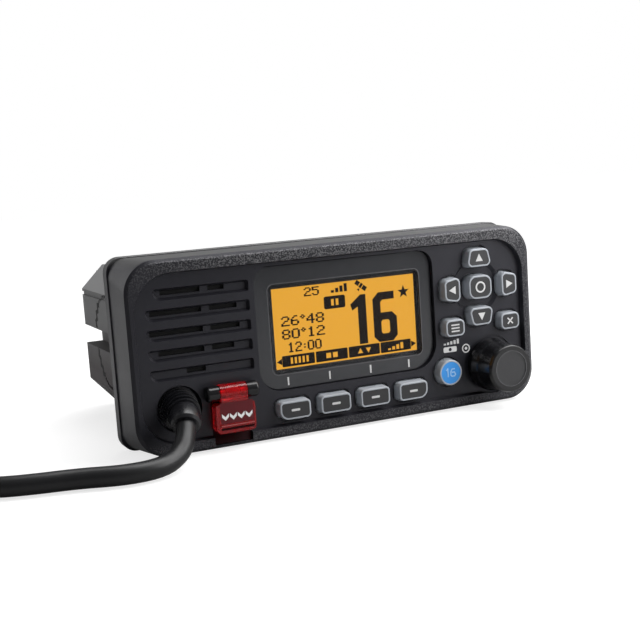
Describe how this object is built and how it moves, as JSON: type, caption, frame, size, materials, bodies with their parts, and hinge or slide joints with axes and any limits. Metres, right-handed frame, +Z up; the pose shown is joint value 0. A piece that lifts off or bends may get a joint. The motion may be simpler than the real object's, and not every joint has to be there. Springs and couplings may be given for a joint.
{
  "type": "vhf marine radio",
  "caption": "Fixed-mount marine radio with a sunk panel, amber display, rubberised keys, push-and-turn knob, hinged distress cover and a fist microphone on a curly cord",
  "frame": {"origin": "on the surface it stands on, under the middle of the foot strip, which is the bottom of the bezel's rear lip", "axes": "+X to the right as seen from the front, +Y from the face towards the back, +Z up"},
  "size_m": [0.3163, 0.1555, 0.0665],
  "materials": {
    "bezel": "moulded charcoal, finely textured on the rim",
    "gasket": "soft black",
    "case": "satin black over die-cast metal",
    "steel": "plain stainless",
    "display_plate": "glossy dark grey",
    "lens": "clear",
    "lcd": "amber, lit from behind",
    "white_plastic": "white",
    "silicone": "translucent grey",
    "board": "green board",
    "distress_red": "glossy red",
    "hinge_black": "glossy black",
    "cloth": "black woven",
    "cone": "treated black cone",
    "knob": "glossy black with a bright rim",
    "knob_face": "glossy dark grey",
    "brass": "plain",
    "encoder": "dark grey",
    "nickel": "nickel plate",
    "boot": "matte black",
    "insulator": "white",
    "black_plastic": "black",
    "cord": "satin black jacket",
    "mic_shell": "moulded charcoal",
    "mic_key": "dark grey",
    "keys": "light grey",
    "key_blue": "light grey"
  },
  "bodies": {
    "radio": {"front_panel": "bezel", "panel_gasket": "gasket", "chassis": "case", "panel_screws": "steel", "display_plate": "display_plate", "display_lens": "lens", "lcd_panel": "lcd", "lcd_frame": "white_plastic", "keypad_mat": "silicone", "front_board": "board", "main_board": "board", "distress_tray": "distress_red", "distress_hinge_caps": "hinge_black", "distress_hinge_pin": "steel", "distress_spring": "steel", "speaker_cloth": "cloth", "speaker_frame": "steel", "speaker_cone": "cone", "encoder_body": "encoder", "encoder_nut": "nickel", "mic_boot": "boot", "boot_nut": "nickel", "antenna_socket": "nickel", "antenna_insulator": "insulator", "antenna_contact": "brass", "power_socket": "black_plastic", "aux_socket": "black_plastic", "ground_screw": "steel", "cord_lead": "cord", "cord_curl": "cord", "cord_tail": "cord", "mic_front_shell": "mic_shell", "mic_rear_shell": "mic_shell", "mic_stud": "steel", "mic_screws": "steel", "mic_capsule": "steel", "mic_cord_boot": "boot"},
    "cover": {"distress_cover": "distress_red"},
    "distress_key": {"distress_button": "distress_red"},
    "encoder_push": {"encoder_plunger": "steel"},
    "knob": {"volume_knob": "knob", "knob_cap": "knob_face", "encoder_shaft": "brass"},
    "talk_bar": {"mic_ptt": "mic_key"},
    "mic_up": {"mic_key_up": "mic_key"},
    "mic_down": {"mic_key_down": "mic_key"},
    "key_up_body": {"key_up": "keys"},
    "key_left_body": {"key_left": "keys"},
    "key_down_body": {"key_down": "keys"},
    "key_right_body": {"key_right": "keys"},
    "key_enter_body": {"key_enter": "keys"},
    "key_menu_body": {"key_menu": "keys"},
    "key_clear_body": {"key_clear": "keys"},
    "key_round_body": {"key_round": "key_blue"},
    "softkey_1_body": {"softkey_1": "keys"},
    "softkey_2_body": {"softkey_2": "keys"},
    "softkey_3_body": {"softkey_3": "keys"},
    "softkey_4_body": {"softkey_4": "keys"}
  },
  "joints": [
    {"name": "key_up_press", "type": "slide", "parent": "radio", "child": "key_up_body", "axis": [0, 1, 0], "range_m": [0, 0.0008], "stiffness_N_per_m": 1200, "springref_m": -0.0003},
    {"name": "key_left_press", "type": "slide", "parent": "radio", "child": "key_left_body", "axis": [0, 1, 0], "range_m": [0, 0.0008], "stiffness_N_per_m": 1200, "springref_m": -0.0003},
    {"name": "key_down_press", "type": "slide", "parent": "radio", "child": "key_down_body", "axis": [0, 1, 0], "range_m": [0, 0.0008], "stiffness_N_per_m": 1200, "springref_m": -0.0003},
    {"name": "key_right_press", "type": "slide", "parent": "radio", "child": "key_right_body", "axis": [0, 1, 0], "range_m": [0, 0.0008], "stiffness_N_per_m": 1200, "springref_m": -0.0003},
    {"name": "key_enter_press", "type": "slide", "parent": "radio", "child": "key_enter_body", "axis": [0, 1, 0], "range_m": [0, 0.0008], "stiffness_N_per_m": 1200, "springref_m": -0.0003},
    {"name": "key_menu_press", "type": "slide", "parent": "radio", "child": "key_menu_body", "axis": [0, 1, 0], "range_m": [0, 0.0008], "stiffness_N_per_m": 1200, "springref_m": -0.0003},
    {"name": "key_clear_press", "type": "slide", "parent": "radio", "child": "key_clear_body", "axis": [0, 1, 0], "range_m": [0, 0.0008], "stiffness_N_per_m": 1200, "springref_m": -0.0003},
    {"name": "key_round_press", "type": "slide", "parent": "radio", "child": "key_round_body", "axis": [0, 1, 0], "range_m": [0, 0.0008], "stiffness_N_per_m": 1200, "springref_m": -0.0003},
    {"name": "softkey_1_press", "type": "slide", "parent": "radio", "child": "softkey_1_body", "axis": [0, 1, 0], "range_m": [0, 0.0008], "stiffness_N_per_m": 1200, "springref_m": -0.0003},
    {"name": "softkey_2_press", "type": "slide", "parent": "radio", "child": "softkey_2_body", "axis": [0, 1, 0], "range_m": [0, 0.0008], "stiffness_N_per_m": 1200, "springref_m": -0.0003},
    {"name": "softkey_3_press", "type": "slide", "parent": "radio", "child": "softkey_3_body", "axis": [0, 1, 0], "range_m": [0, 0.0008], "stiffness_N_per_m": 1200, "springref_m": -0.0003},
    {"name": "softkey_4_press", "type": "slide", "parent": "radio", "child": "softkey_4_body", "axis": [0, 1, 0], "range_m": [0, 0.0008], "stiffness_N_per_m": 1200, "springref_m": -0.0003},
    {"name": "cover_hinge", "type": "hinge", "parent": "radio", "child": "cover", "pos_m": [-0.0442, -0.0217, 0.0196], "axis": [-1, 0, 0], "range_deg": [0, 105], "stiffness_Nm_per_rad": 0.002, "springref_deg": -34.38},
    {"name": "distress_press", "type": "slide", "parent": "radio", "child": "distress_key", "axis": [0, 1, 0], "range_m": [0, 0.0008], "stiffness_N_per_m": 1200, "springref_m": -0.0003},
    {"name": "knob_push", "type": "slide", "parent": "radio", "child": "encoder_push", "axis": [0, 1, 0], "range_m": [0, 0.0005], "stiffness_N_per_m": 2500, "springref_m": -0.0003},
    {"name": "knob_turn", "type": "hinge", "parent": "encoder_push", "child": "knob", "pos_m": [0.0595, -0.0269, 0.0149], "axis": [0, -1, 0], "continuous": true},
    {"name": "talk_press", "type": "slide", "parent": "radio", "child": "talk_bar", "axis": [1, 0, 0], "range_m": [0, 0.0015], "stiffness_N_per_m": 900, "springref_m": -0.0006},
    {"name": "mic_up_press", "type": "slide", "parent": "radio", "child": "mic_up", "axis": [0, 0.0649, -0.9979], "range_m": [0, 0.0008], "stiffness_N_per_m": 800, "springref_m": -0.0003},
    {"name": "mic_down_press", "type": "slide", "parent": "radio", "child": "mic_down", "axis": [0, 0.0649, -0.9979], "range_m": [0, 0.0008], "stiffness_N_per_m": 800, "springref_m": -0.0003}
  ]
}
